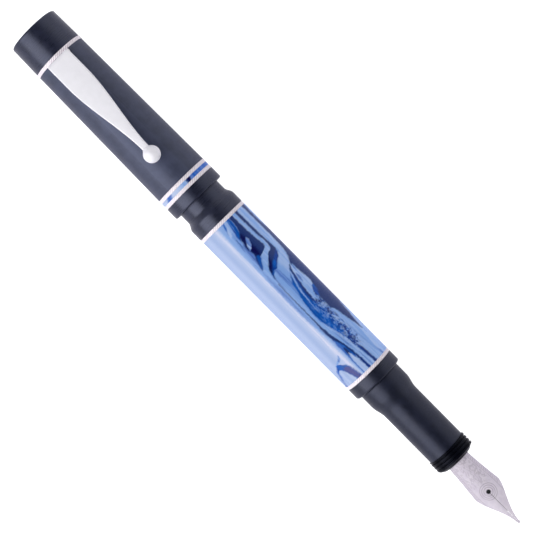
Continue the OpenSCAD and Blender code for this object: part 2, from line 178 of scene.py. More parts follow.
def turned(outline, segments=192, ripple=None):
    """Bmesh of a closed (x, r) outline turned about the pen's axis.
    ripple(x, r, angle) gives the radius at a point."""
    built = bmesh.new()
    rings = []
    for x, r in outline:
        if r < 1e-9:
            rings.append([built.verts.new((x, 0, AXIS_Z))])
            continue
        ring = []
        for k in range(segments):
            angle = TURN * k / segments
            here = ripple(x, r, angle) if ripple else r
            ring.append(built.verts.new((x, here * math.sin(angle), AXIS_Z + here * math.cos(angle))))
        rings.append(ring)
    for i, ring in enumerate(rings):
        other = rings[(i + 1) % len(rings)]
        if len(ring) == 1 and len(other) == 1:
            continue
        for k in range(segments):
            after = (k + 1) % segments
            near = [ring[k % len(ring)], ring[after % len(ring)]]
            far = [other[after % len(other)], other[k % len(other)]]
            built.faces.new(list(dict.fromkeys(near + far)))
    return built


def lofted(rings):
    """Bmesh through closed rings of points, all of one length, with flat ends."""
    built = bmesh.new()
    rows = [[built.verts.new(point) for point in ring] for ring in rings]
    count = len(rows[0])
    for row, after in zip(rows, rows[1:]):
        for k in range(count):
            built.faces.new((row[k], row[(k + 1) % count], after[(k + 1) % count], after[k]))
    built.faces.new(rows[0])
    built.faces.new(rows[-1])
    return built


def cut(piece, cutter):
    """Takes the cutter, a closed bmesh, out of the piece for good."""
    tool = placed("cutter", mesh_of("cutter", cutter))
    change = piece.modifiers.new("cut", "BOOLEAN")
    change.operation = "DIFFERENCE"
    change.solver = "EXACT"
    change.object = tool
    seen = piece.evaluated_get(bpy.context.evaluated_depsgraph_get())
    result = bpy.data.meshes.new_from_object(seen)
    piece.modifiers.clear()
    piece.data = result
    bpy.data.objects.remove(tool)


# ---- Material tools ----

class Nodes:
    """A node tree, with short ways to add to it. An input is a socket or a plain value."""

    def __init__(self, owner):
        owner.use_nodes = True
        self.tree = owner.node_tree
        self.tree.nodes.clear()

    def join(self, value, socket):
        if isinstance(value, bpy.types.NodeSocket):
            self.tree.links.new(value, socket)
        else:
            socket.default_value = value

    def node(self, kind, inputs=None, **settings):
        made = self.tree.nodes.new("ShaderNode" + kind)
        for setting, value in settings.items():
            setattr(made, setting, value)
        for socket, value in (inputs or {}).items():
            self.join(value, made.inputs[socket])
        return made

    def math(self, operation, a, b=0.0, c=0.0):
        return self.node("Math", {0: a, 1: b, 2: c}, operation=operation).outputs[0]

    def times(self, a, b):
        return self.math("MULTIPLY", a, b)

    def plus(self, a, b):
        return self.math("ADD", a, b)

    def minus(self, a, b):
        return self.math("SUBTRACT", a, b)

    def ramp(self, value, low, high, to_low=0.0, to_high=1.0):
        """value eased from low..high to to_low..to_high."""
        inputs = {0: value, 1: low, 2: high, 3: to_low, 4: to_high}
        return self.node("MapRange", inputs, interpolation_type="SMOOTHSTEP").outputs[0]

    def fall(self, value, low, high):
        return self.ramp(value, low, high, 1.0, 0.0)

    def spread(self, noise, low=0.0, high=1.0):
        """A noise's usual range, eased to low..high."""
        return self.ramp(noise, 0.3, 0.7, low, high)

    def mix(self, factor, a, b, blend="MIX"):
        mixed = self.node("Mix", {0: factor, 6: a, 7: b}, data_type="RGBA", blend_type=blend)
        return mixed.outputs[2]

    def scaled(self, tint, factor):
        """A colour made lighter or darker by a factor that changes over the surface."""
        grey = self.node("CombineColor", {k: factor for k in range(3)}).outputs[0]
        return self.mix(1.0, tint, grey, "MULTIPLY")

    def colours(self, value, stops, easing="LINEAR"):
        """The colour at value on a ramp through (place, colour) stops."""
        made = self.node("ValToRGB", {0: value})
        made.color_ramp.interpolation = easing
        for k, (place, tint) in enumerate(stops):
            stop = made.color_ramp.elements[k] if k < 2 else made.color_ramp.elements.new(place)
            stop.position = place
            stop.color = tint
        return made.outputs[0]

    def noise(self, vector, scale=1.0, detail=2.0, roughness=0.5, distortion=0.0):
        inputs = {"Vector": vector, "Scale": scale, "Detail": detail, "Roughness": roughness,
                  "Distortion": distortion}
        return self.node("TexNoise", inputs).outputs[0]

    def bump(self, height, depth, under=None):
        inputs = {"Height": height, "Distance": depth}
        if under:
            inputs["Normal"] = under
        return self.node("Bump", inputs).outputs[0]


class Graph(Nodes):
    """One material's nodes, ending in a Principled shader."""

    def __init__(self, name, **shader):
        self.material = bpy.data.materials.new(name)
        super().__init__(self.material)
        self.shader = self.node("BsdfPrincipled")
        self.node("OutputMaterial", {0: self.shader.outputs[0]})
        for socket, value in shader.items():
            self.set(socket, value)
        # millimetres, with Z from the pen's axis
        inputs = {0: self.node("TexCoord").outputs["Object"], 1: (0, 0, -AXIS_Z / MM), 3: (1 / MM,) * 3}
        self.place = self.node("Mapping", inputs).outputs[0]
        self.x, self.y, self.z = self.node("SeparateXYZ", {0: self.place}).outputs

    def set(self, name, value):
        self.join(value, self.shader.inputs[name.replace("_", " ")])

    def stretched(self, x, y, z, offset=0.0):
        """The place in millimetres, scaled on each axis, as the vector of a texture."""
        return self.node("Mapping", {0: self.place, 1: (offset,) * 3, 3: (x, y, z)}).outputs[0]


def colour(red, green, blue):
    """Linear colour from 0-255 display values."""
    return tuple(
        (c / 12.92 if c <= 0.04045 else ((c + 0.055) / 1.055) ** 2.4)
        for c in (red / 255, green / 255, blue / 255)) + (1.0,)


def tinted(tint, factor):
    """A plain colour with its light scaled by a factor, up to white."""
    return [min(1, c * factor) for c in tint[:3]] + [1]


def dress(piece, material):
    """Gives a piece its only material. A CAD node keeps its mesh, and only its slots change."""
    if not piece.material_slots:
        piece.data.materials.append(material)
    for place in piece.material_slots:
        place.material = material


# ---- Materials ----

RESIN_SHEEN = (0.72, 0.76, 1.0, 1)


def resin(name, tint, roughness, grain, sheen=0.56):
    """Turned blue-black resin: faint lathe rings, fine scratches, smudges, and a painted highlight that
    makes sharp edges paler.
    """
    g = Graph(name, IOR=1.5, Specular_IOR_Level=sheen, Specular_Tint=RESIN_SHEEN)
    mottle = g.noise(g.place, 0.35, 4, 0.6)
    rings = g.noise(g.stretched(9, 0.12, 0.12), 1.0, 3, 0.7)
    scratches = g.ramp(g.noise(g.stretched(0.5, 5, 5, 7.3), 2.6, 2, 0.8, 0.4), 0.62, 0.72)
    speckle = g.noise(g.place, 9.0, 2, 0.6)
    # painted highlight: sharp edges are painted paler
    wear_and_edge_highlight = g.ramp(g.node("NewGeometry").outputs["Pointiness"], 0.51, 0.56)
    shade = g.mix(g.spread(mottle), tinted(tint, 0.8), tinted(tint, 1.25))
    g.set("Base_Color", g.mix(g.times(wear_and_edge_highlight, 0.35), shade, tinted(tint, 2.6)))
    gloss = g.plus(g.spread(rings, roughness - 0.05, roughness + 0.05), g.times(scratches, 0.08))
    g.set("Roughness", g.plus(gloss, g.ramp(mottle, 0.35, 0.65, -0.03, 0.03)))
    relief = g.bump(rings, 0.012 * MM * grain)
    relief = g.bump(speckle, 0.01 * MM * grain, under=relief)
    g.set("Normal", g.bump(g.minus(1.0, scratches), 0.004 * MM, under=relief))
    return g.material


def metal(name, tint, roughness, grain, metallic=1.0, brushed=False):
    """Plated metal: bead-blasted or brushed, with soft stains."""
    g = Graph(name, Metallic=metallic)
    fine = g.noise(g.stretched(6, 0.6, 0.6) if brushed else g.place, 5.0, 3, 0.7)
    cloudy = g.noise(g.place, 0.5, 3, 0.5)
    g.set("Base_Color", g.mix(g.spread(cloudy), tinted(tint, 0.97), tint))
    g.set("Roughness", g.plus(g.spread(fine, roughness - 0.06, roughness + 0.06),
                              g.ramp(cloudy, 0.35, 0.7, -0.02, 0.02)))
    g.set("Normal", g.bump(fine, 0.02 * MM * grain))
    return g.material


def rope_metal(name, tint, groove_shade, roughness):
    """Silver of the rope rings: painted shade between the strands, and finely speckled on them."""
    g = Graph(name, Metallic=0.15)
    fine = g.noise(g.place, 6.0, 3, 0.7)
    cloudy = g.noise(g.place, 0.6, 3, 0.5)
    around = g.times(g.math("ARCTAN2", g.y, g.z), ROPE_STRANDS / TURN)
    strand = g.math("MULTIPLY_ADD", g.x, ROPE_SLANT * MM / ROPE_PITCH, around)
    across = g.math("ABSOLUTE", g.minus(g.math("FRACT", strand), 0.5))
    wear_and_edge_highlight = g.mix(g.spread(cloudy), tinted(tint, 0.95), tint)
    # painted shade: the grooves between the strands are painted darker
    g.set("Base_Color", g.mix(g.ramp(across, 0.24, 0.48), wear_and_edge_highlight, groove_shade))
    g.set("Roughness", g.spread(fine, roughness - 0.06, roughness + 0.06))
    g.set("Normal", g.bump(fine, 0.012 * MM))
    return g.material


def plastic(name, tint, roughness, grain=1.0, **shader):
    """Moulded or machined plastic of one colour, with grain, haze and fine machining marks."""
    g = Graph(name, **shader)
    fine = g.noise(g.place, 6.0, 3, 0.6)
    marks = g.noise(g.stretched(7, 0.2, 0.2, 3.1), 1.0, 2, 0.6)
    cloudy = g.noise(g.place, 0.6, 3, 0.5)
    g.set("Base_Color", g.mix(g.spread(cloudy), tinted(tint, 0.85), tinted(tint, 1.15)))
    mixed = g.plus(fine, g.times(marks, 0.5))
    g.set("Roughness", g.ramp(mixed, 0.5, 1.0, roughness - 0.06, roughness + 0.08))
    relief = g.bump(fine, 0.01 * MM * grain)
    g.set("Normal", g.bump(marks, 0.008 * MM * grain, under=relief))
    return g.material


# The swirl's colours
PALE = colour(176, 192, 226)
# lilac: partly a painted highlight on the pale side
LILAC_HIGHLIGHT = colour(214, 216, 240)
PERI = colour(160, 180, 220)
LIGHT = colour(158, 184, 228)
SKY = colour(124, 162, 220)
MID = colour(80, 116, 190)
AZURE = colour(0, 88, 182)
DEEP = colour(0, 48, 136)
COBALT = colour(0, 74, 160)
NAVY = colour(23, 49, 108)
INK = colour(0, 0, 70)
PLUM = colour(60, 66, 138)

SWIRL_TURN = math.radians(3.7)
SWIRL_REACH = 1.1
# The swirl's layers, bottom to top. x runs from 0 at the rear ring to SWIRL_L at the front one, nearly
# in millimetres, and v is the place across the pen in hundredths of its radius, 100 at the +Y side and
# -100 at the -Y side. Each layer fills the space between two lines.
# (first colour, second colour, edge softness, upper line, lower line)
SWIRL = [
    # lilac band of the pale side, partly a painted highlight of the box light, and blue edge of the pale
    # side
    (LILAC_HIGHLIGHT, PALE, 0.10, [(0, -36), (16, -38), (36, -36), (55, -27)],
     [(0, -48), (16, -50), (36, -52), (55, -40)]),
    # light field under the streaks
    (LIGHT, SKY, 0.05, [(0, 110), (55, 110)], [(0, -30), (12, -37), (34, -35), (44, -27), (55, -25)]),
    # greyish shade below the pools
    (MID, SKY, 0.08, [(4, -6), (8, -4), (15, -2), (17, -24)], [(4, -14), (8, -24), (12, -30), (17, -30)]),
    (PLUM, MID, 0.06, [(8, -6), (12, -4), (14.6, -10), (15.4, -20)],
     [(8, -9), (10, -16), (13, -20), (15.4, -21)]),
    # lines along the foot of the light field
    (MID, SKY, 0.02, [(15, -27), (19, -23), (24, -21), (31, -19), (36, -17)],
     [(15, -28), (19, -27), (24, -25), (31, -24), (36, -23)]),
    (MID, SKY, 0.06, [(14, -25), (24, -22), (34, -20), (42, -20)],
     [(14, -33), (24, -36), (34, -35), (42, -24)]),
    (PLUM, MID, 0.015, [(17, -10), (21, -11), (25, -13)], [(17, -12), (21, -14), (25, -13)]),
    # streaks at the rear end
    (AZURE, COBALT, 0.025, [(0, 22), (4, 17), (6.5, 2), (7.5, -6)],
     [(0, 12), (3, 8), (5.5, -3), (7.5, -7)]),
    (DEEP, AZURE, 0.02, [(0, 13), (3, 8), (5.6, -1), (6.3, -5)], [(0, 9), (3, 3), (5, -4), (6.3, -6)]),
    (MID, AZURE, 0.02, [(0, -2), (2, -9), (4, -20)], [(0, -8), (2, -15), (4, -21)]),
    (PALE, LIGHT, 0.03, [(2, -5), (3, -6), (5, -21)], [(2, -6), (3.4, -18), (5, -23)]),
    (NAVY, MID, 0.025, [(6, -13), (8, -14), (10, -20)], [(6, -15), (8, -19), (10, -21)]),
    # long navy pool and its ink-dark foot
    (NAVY, NAVY, 0.02, [(0, 37), (6, 37.5), (9, 40.5), (11, 43.7), (12.2, 44), (12.9, 38), (13.3, 24),
      (13.8, 6), (15, -6), (16, -13), (17, -21)],
     [(0, 21), (4, 17), (5.2, 10), (6.2, 1), (8, -4), (10, -9), (12, -5), (13.4, -12), (15, -20),
      (17, -22)]),
    (INK, INK, 0.12, [(5.5, 12), (7, 17), (9, 17), (12, 17), (13.2, 13), (14, 2)],
     [(5.5, 10), (6.3, 3), (8, -2), (10, -6), (12, -3), (14, 0)]),
    (AZURE, COBALT, 0.10, [(12.9, -2), (13.6, 6), (15, -6), (16, -13), (17, -21)],
     [(12.9, -4), (13.8, -10), (15, -19), (16, -21), (17, -22)]),
    # lens in the pool
    (LIGHT, MID, 0.03, [(7.2, 15), (8, 19.5), (9, 17), (10.7, -7)],
     [(7.2, 14), (8.2, 7), (9.4, -1), (10.7, -8)]),
    # navy stripe that swells into a second pool
    (NAVY, NAVY, 0.02, [(0, 60), (7, 60.2), (11, 62), (14.5, 64.5), (15.7, 62), (16.8, 53), (17.6, 38),
      (18.6, 24), (19.3, 12), (19.5, -4), (21, -10)],
     [(0, 48), (6, 50), (9, 51.5), (11.5, 55), (13.2, 54), (14.1, 47), (14.7, 34), (15.5, 19), (16.6, 7),
      (18, -6), (19, -10), (21, -11.5)]),
    (DEEP, AZURE, 0.20, [(15.2, 63), (15.8, 61), (16.8, 53), (17.6, 38), (18.6, 24), (19.3, 12),
      (19.6, -6)],
     [(15.2, 61), (16.2, 44), (17, 24), (17.7, 10), (18.3, 3), (19, -3), (19.6, -9)]),
    (INK, INK, 0.14, [(15.4, 22), (16.4, 24), (17.5, 14), (19, -1)],
     [(15.4, 20), (16.6, 7), (17.8, -4), (19, -7)]),
    # thin bright line between the stripe and the pool
    (LIGHT, SKY, 0.015, [(0, 45.5), (6, 46), (9, 49), (11.5, 52), (13, 51), (13.9, 43), (14.6, 26),
      (15.8, 10), (17.5, -4), (20, -13)],
     [(0, 42), (6, 42), (9, 44), (11.5, 47), (12.9, 46), (13.6, 34), (14.1, 14), (15.2, 0), (17, -13),
      (20, -16)]),
    # bluer patch of the light field behind the band
    (MID, SKY, 0.10, [(19, 22), (22, 32), (26, 24), (31, 8)], [(19, 4), (22, 2), (26, -2), (31, -4)]),
    # azure band of the front half
    (AZURE, COBALT, 0.03, [(20.6, 59), (22.5, 49), (24, 46), (27, 40), (31, 37), (35, 41), (38, 42),
      (41.5, 47), (44, 44), (47, 35), (51, 38), (55, 43)],
     [(20.6, 57), (22.3, 38), (23.5, 27), (25, 18), (28, 9), (31, 0), (34, -3.5), (37, -4), (40, 5),
      (43, 14), (45, 20), (49, 26), (52, 30), (55, 33)]),
    (NAVY, DEEP, 0.03, [(20.6, 60), (22.5, 51), (25, 45), (28, 40), (31, 37), (34, 38)],
     [(20.6, 57), (22.5, 43), (25, 37), (28, 29), (31, 27), (34, 30)]),
    (LIGHT, SKY, 0.018, [(21.8, 45), (23, 41), (25, 33), (28, 24.5), (31, 19), (35, 15)],
     [(21.8, 44), (23, 35), (25, 28), (28, 20), (31, 16.5), (35, 14.5)]),
    (NAVY, DEEP, 0.04, [(36, 40), (38, 43), (41, 48), (44, 45), (47, 36), (51, 40), (55, 44)],
     [(36, 38), (38, 36), (41, 36), (44, 24), (46, 23), (49, 27), (52, 31), (55, 34)]),
    # navy edge along the +Y side
    (NAVY, NAVY, 0.03, [(0, 94.5), (8, 95), (13, 110), (34, 110), (37, 96), (41, 90), (46.5, 84)],
     [(0, 82), (8, 83.5), (14, 83), (17, 80), (19, 73.5), (20.7, 62), (22, 65), (24, 68), (27, 71.5),
      (28.6, 69), (29.6, 57), (31, 48), (32, 52), (33.5, 42), (35, 40), (36.3, 50), (37.3, 62), (40, 68),
      (43, 75), (46.5, 83)]),
    (PLUM, NAVY, 0.12, [(0, 110), (9, 110), (36, 110), (40, 92)],
     [(0, 105), (9, 100), (22, 97), (40, 95)]),
    (AZURE, DEEP, 0.04, [(28.8, 70), (30.5, 66), (32.5, 56)], [(28.8, 62), (30.5, 52), (32.5, 52)]),
    # pale cloud with its scalloped tail
    (LIGHT, SKY, 0.025, [(23, 57), (24, 65.5), (26, 70.5), (27.6, 71), (28.7, 67), (29.4, 57), (31, 50),
      (32, 52), (33, 46), (34.2, 39)],
     [(23, 55), (24.2, 48), (26, 43), (28, 38.5), (31, 37), (33, 37.5), (34.2, 38)]),
    (MID, SKY, 0.03, [(23.6, 55), (24.8, 57), (26.3, 50)], [(23.6, 53), (24.8, 48), (26.3, 48)]),
    (SKY, MID, 0.02, [(20.8, 66), (21.6, 67.5), (23.2, 60)], [(20.8, 65), (21.8, 61), (23.2, 57.5)]),
    (LIGHT, MID, 0.02, [(34.2, 44), (34.8, 47.5), (35.8, 43)], [(34.2, 42), (34.8, 42), (35.8, 41)]),
    # lines in the light wedge
    (MID, SKY, 0.03, [(42, 56), (46, 61), (50, 67.5), (55, 78)],
     [(42, 55), (46, 56), (50, 61), (55, 70)]),
    (SKY, LIGHT, 0.04, [(45, 54), (50, 59), (55, 68)], [(45, 52), (50, 50), (55, 50)]),
    (SKY, MID, 0.02, [(41, 2), (45, 9), (49, 17), (55, 24)], [(41, 0), (45, 6), (49, 13), (55, 20)]),
    # dark line that forks towards the front ring
    (MID, AZURE, 0.03, [(41, -13), (44, -7), (47, 1), (49, 4), (50.5, -2)],
     [(41, -20), (44, -22), (47, -21.5), (49, -20), (50.5, -15)]),
    (NAVY, NAVY, 0.01, [(22, -15.5), (28, -16), (36, -15.5), (39, -14), (42, -10), (44.5, -3), (47, 3)],
     [(22, -18), (28, -19), (36, -20), (39, -22), (42, -20.5), (44.5, -11), (47, 0)]),
    (DEEP, NAVY, 0.02, [(45.5, -3), (48, 5), (50, 7.5), (52, 10), (55, 11.5)],
     [(45.5, -5), (48, -3), (50, 0), (52, 1), (55, 2)]),
    (NAVY, NAVY, 0.02, [(46.6, -10), (47.8, -5), (49, -7)], [(46.6, -12), (47.8, -16.5), (49, -16)]),
    (AZURE, MID, 0.02, [(44, -19), (49, -17), (55, -17.5)], [(44, -21.5), (49, -22), (55, -22)]),
    (LIGHT, PALE, 0.015, [(48.4, -10.5), (49.4, -5.5), (51, -2), (55, 0)],
     [(48.4, -11.5), (49.6, -15), (51, -16.5), (55, -16.5)]),
    # hooks on the -Y side
    (SKY, MID, 0.035, [(46.9, -43), (47.6, -44), (48.4, -58), (49.4, -72), (50.5, -80)],
     [(46.9, -45), (47.6, -56), (48.4, -68), (49.4, -80), (50.5, -87)]),
    (AZURE, COBALT, 0.05, [(48.9, -70), (49.2, -58), (50, -47), (51, -41), (52.5, -37), (55, -31)],
     [(48.9, -72), (49.3, -79), (50, -86), (51, -91), (52.5, -95.5), (55, -100)]),
    (PLUM, PLUM, 0.10, [(50.4, -49), (51.2, -42), (52.5, -38), (55, -32)],
     [(50.4, -55), (51.2, -66), (52.5, -60), (55, -50)]),
    (PERI, PALE, 0.025, [(50.3, -78), (50.7, -72), (51.5, -66), (53, -58.5), (55, -51)],
     [(50.3, -80), (51, -85), (52, -89), (53.5, -93.5), (55, -95.5)]),
]
SWIRL_L = 55.4
# The inlay's layout goes on a little way under the ring in front of it
INLAY_L = 1.6
# Where the layers' edges break into lace: from x, to x, lowest and highest share of the radius
LACE = (30, 50, 0.04, 0.62)
LACE_STOPS = [(0.38, NAVY), (0.46, DEEP), (0.50, AZURE), (0.55, SKY), (0.62, colour(146, 172, 218))]
# Loose marbling of the back, from the same colours
BACK_STOPS = [(0.30, PALE), (0.40, PERI), (0.455, LIGHT), (0.475, MID), (0.49, NAVY), (0.52, DEEP),
              (0.535, AZURE), (0.55, SKY), (0.60, LIGHT), (0.625, MID), (0.64, NAVY), (0.655, SKY),
              (0.72, PERI)]


def line(g, x, points, length):
    """The height across the pen, as a share of its radius, of a line through a few (x, v) points."""
    curve = g.node("FloatCurve", {"Value": x})
    mapping = curve.mapping
    mapping.clip_min_x, mapping.clip_max_x = -0.2, 1.2
    shaped = mapping.curves[0]
    places = [(px / length, (v / 100 / SWIRL_REACH + 1) / 2) for px, v in points]
    mapping.extend = "HORIZONTAL"
    shaped.points[0].location = places[0]
    shaped.points[1].location = places[-1]
    for spot in places[1:-1]:
        shaped.points.new(*spot)
    mapping.update()
    return g.math("MULTIPLY_ADD", curve.outputs[0], 2 * SWIRL_REACH, -SWIRL_REACH)


def swirled(g, x, v, streak, layers, length, base):
    """The layers painted over each other on the base colour."""
    shade = base
    for first, second, soft, upper, lower in layers:
        low, high = upper[0][0] / length, upper[-1][0] / length
        below = g.minus(line(g, x, upper, length), v)
        above = g.minus(v, line(g, x, lower, length))
        inside = g.ramp(g.math("MINIMUM", below, above), -0.022 - 0.4 * soft, 0.022 + 0.6 * soft)
        if low > 0.01:
            inside = g.times(inside, g.math("GREATER_THAN", x, low))
        if high < 0.98:
            inside = g.times(inside, g.math("LESS_THAN", x, high))
        fill = first if first == second else g.mix(streak, first, second)
        shade = g.mix(inside, shade, fill)
    return shade


def acrylic(name, first_x, span, length, layers, base_stops, back_seed, lift=0.0, lace_area=None):
    """Polished marbled acrylic: a laid-out swirl on the front and loose marbling round the back.
    The layers' x runs from 0 to length, over span millimetres from first_x."""
    g = Graph(name, IOR=1.49, Specular_IOR_Level=0.3)
    wobble = g.noise(g.stretched(0.45, 0.45, 0.45), 1.0, 3, 0.55)
    ripple = g.noise(g.stretched(1.6, 1.1, 1.1, 4.0), 1.0, 3, 0.6)
    r = BARREL_R / MM
    cosine, sine = math.cos(SWIRL_TURN) / r, math.sin(SWIRL_TURN) / r
    side = g.minus(g.times(g.y, cosine), g.times(g.z, sine))
    front = g.plus(g.times(g.z, cosine), g.times(g.y, sine))
    along = g.math("MULTIPLY_ADD", g.x, 1 / span, -first_x / MM / span)
    x = g.plus(along, g.spread(wobble, -0.25 / length, 0.25 / length))
    v = g.plus(side, g.spread(ripple, -0.012 - lift, 0.012 - lift))
    if lace_area:
        from_x, to_x, from_v, to_v = lace_area
        near = g.times(g.ramp(along, from_x / length, (from_x + 4) / length),
                       g.fall(along, (to_x - 4) / length, to_x / length))
        near = g.times(near, g.times(g.ramp(side, from_v, from_v + 0.1),
                                     g.fall(side, to_v - 0.08, to_v)))
        torn = g.noise(g.stretched(1.1, 1.5, 1.5, 9.0), 1.0, 5, 0.75, 1.0)
        frayed = g.times(g.spread(torn, -0.13, 0.13), g.ramp(side, 0.22, 0.35))
        v = g.math("MULTIPLY_ADD", frayed, near, v)
    flow = g.node("CombineXYZ", {0: g.times(x, 0.07 * length), 1: g.times(v, 11.0),
                                 2: g.times(front, 0.5)}).outputs[0]
    streak = g.ramp(g.noise(flow, 1.0, 4, 0.6, 0.3), 0.38, 0.64)
    base = g.colours(g.math("MULTIPLY_ADD", v, 0.5, 0.5), base_stops, "EASE")
    painted = swirled(g, x, v, streak, layers, length, base)
    if lace_area:
        cells = g.noise(g.stretched(0.5, 0.9, 0.9, 21.0), 1.0, 3, 0.55, 0.8)
        cover = g.times(g.ramp(side, 0.18, 0.40, 0.35, 1.0), g.ramp(ripple, 0.35, 0.6, 0.25, 0.85))
        painted = g.mix(g.times(near, cover), painted, g.colours(cells, LACE_STOPS))
    loose = g.noise(g.stretched(0.055, 0.16, 0.16, back_seed), 1.0, 3, 0.5, 2.2)
    fine = g.noise(g.stretched(0.12, 0.9, 0.9, back_seed), 1.0, 3, 0.6, 1.2)
    veins = g.colours(g.math("MULTIPLY_ADD", fine, 0.22, g.times(loose, 0.82)), BACK_STOPS)
    # painted light: the marbling is painted lighter towards +Y and a little darker towards -Y, to even
    # out the shading of the light from the -Y side
    painted_side_light = g.scaled(painted, g.ramp(side, -0.7, 0.95, 0.92, 1.3))
    g.set("Base_Color", g.mix(g.ramp(front, -0.28, 0.02), veins, painted_side_light))
    fleck = g.noise(g.place, 14.0, 2, 0.7)
    scratches = g.ramp(g.noise(g.stretched(0.6, 4, 4, 2.0), 3.0, 2, 0.8, 0.5), 0.64, 0.72)
    g.set("Roughness", g.plus(g.spread(fleck, 0.22, 0.32), g.times(scratches, 0.12)))
    g.set("Normal", g.bump(g.plus(fleck, scratches), 0.0015 * MM))
    return g.material


# The colours under the layers, from the -Y side to the +Y side
SIDE_STOPS = [(0.0, PERI), (0.08, PALE), (0.16, PERI), (0.27, PALE), (0.33, LIGHT), (1.0, LIGHT)]
INLAY = [
    (INK, NAVY, 0.03, [(0, 30), (1, 26), (1.6, 20)], [(0, 10), (1, 8), (1.6, 10)]),
    (MID, AZURE, 0.05, [(0, 110), (1.6, 110)], [(0, 36), (0.8, 40), (1.6, 36)]),
    (MID, AZURE, 0.05, [(0, -60), (1.6, -66)], [(0, -80), (1.6, -90)]),
    (SKY, LIGHT, 0.08, [(0, 10), (1.6, 8)], [(0, -16), (1.6, -12)]),
]
INLAY_STOPS = [(0.0, PALE), (0.3, PALE), (0.42, LIGHT), (0.55, SKY), (0.7, MID), (0.85, SKY), (1.0, MID)]


def nib_metal():
    """Satin steel with a plain engraved border, hatching, rings round the breather hole and curls."""
    g = Graph("nib_steel", Metallic=0.15)
    fine = g.noise(g.stretched(1, 5, 5), 3.0, 3, 0.7)
    cloudy = g.noise(g.place, 0.8, 3, 0.6)
    d = g.minus(g.x, NOSE_X / MM)
    across = g.math("ABSOLUTE", g.y)
    hatch = g.math("SINE", g.times(g.plus(d, g.times(across, 1.6)), 7.0))
    breather = (BREATHER_X / MM, 0, BREATHER_HEIGHT / MM)
    away = g.node("VectorMath", {0: g.place, 1: breather}, operation="DISTANCE").outputs[1]
    rings = g.times(g.ramp(g.math("SINE", g.times(away, 11.0)), 0.2, 0.9), g.fall(away, 2.6, 3.0))
    wavy = g.math("MULTIPLY_ADD", g.noise(g.stretched(0.5, 0.9, 0.0)), 26.0, across)
    curls = g.times(g.ramp(g.math("SINE", wavy), 0.3, 0.9), g.fall(d, 8.0, 10.0))
    shoulder = NIB_SHOULDER / MM
    side = g.math("DIVIDE", across, g.ramp(d, 0, shoulder, NIB_R / MM, NIB_W / MM / 2))
    border = g.times(g.ramp(side, 0.78, 0.82), g.fall(d, shoulder, shoulder + 2))
    frame_line = g.times(g.ramp(side, 0.72, 0.75), g.fall(side, 0.75, 0.78))
    lines = g.times(g.ramp(hatch, 0.2, 0.9), border)
    for more in (g.times(curls, g.ramp(side, 0.66, 0.7, 0.6, 0.0)), rings, frame_line):
        lines = g.math("MAXIMUM", lines, more)
    tone = g.mix(g.spread(cloudy), colour(210, 201, 214), colour(219, 211, 221))
    # painted light: the plating is painted lighter towards +Y and darker towards -Y, to even out the
    # shading of the light from the -Y side
    tone = g.scaled(tone, g.ramp(g.y, -3.5, 2.5, 0.86, 1.18))
    g.set("Base_Color", g.mix(g.times(lines, 0.50), tone, colour(140, 128, 142)))
    g.set("Roughness", g.plus(g.spread(fine, 0.56, 0.66), g.times(lines, 0.1)))
    relief = g.bump(fine, 0.006 * MM)
    g.set("Normal", g.bump(g.minus(1.0, lines), 0.03 * MM, under=relief))
    return g.material


def clear_plastic(name):
    """Clear converter wall with a faint haze and scratches along it."""
    g = Graph(name, IOR=1.5, Transmission_Weight=0.92, Base_Color=(0.93, 0.96, 0.98, 1))
    haze = g.noise(g.place, 0.9, 3, 0.6)
    scratches = g.ramp(g.noise(g.stretched(0.3, 6, 6), 2.0, 2, 0.8), 0.6, 0.72)
    g.set("Roughness", g.plus(g.spread(haze, 0.04, 0.12), g.times(scratches, 0.2)))
    g.set("Normal", g.bump(scratches, 0.004 * MM))
    return g.material


def brass(name):
    """Drawn brass tube, with dull tarnish and lengthwise lines."""
    g = Graph(name, Metallic=1.0)
    tarnish = g.noise(g.place, 0.5, 5, 0.65)
    lines = g.noise(g.stretched(0.15, 6, 6), 1.6, 2, 0.7)
    g.set("Base_Color", g.mix(g.ramp(tarnish, 0.35, 0.7), colour(214, 176, 92), colour(150, 112, 58)))
    g.set("Roughness", g.plus(g.spread(lines, 0.22, 0.36), g.ramp(tarnish, 0.4, 0.7, 0.0, 0.15)))
    g.set("Normal", g.bump(lines, 0.006 * MM))
    return g.material


# ---- Materials in use ----

SLEEVE_X = start("barrel_sleeve")
INLAY_X = start("cap_band_inlay")
# The swirl's layout starts a little behind the sleeve and ends a little past it. The span is in mm.
SWIRL_START = SLEEVE_X - 0.55 * MM
SWIRL_SPAN = 54.9

cap_black = resin("cap_black", colour(53, 57, 75), 0.42, 1.3)
end_black = resin("end_black", colour(28, 31, 48), 0.30, 0.7, sheen=0.6)
# painted shade: a darker copy of end_black for the collar, for the dimmer light towards the pen's front
collar_shaded_black = resin("collar_shaded_black", colour(21, 24, 38), 0.32, 0.8, sheen=0.5)
section_black = resin("section_black", colour(22, 25, 40), 0.36, 1.0, sheen=0.43)
thread_black = resin("thread_black", colour(5, 6, 13), 0.30, 0.4, sheen=0.09)
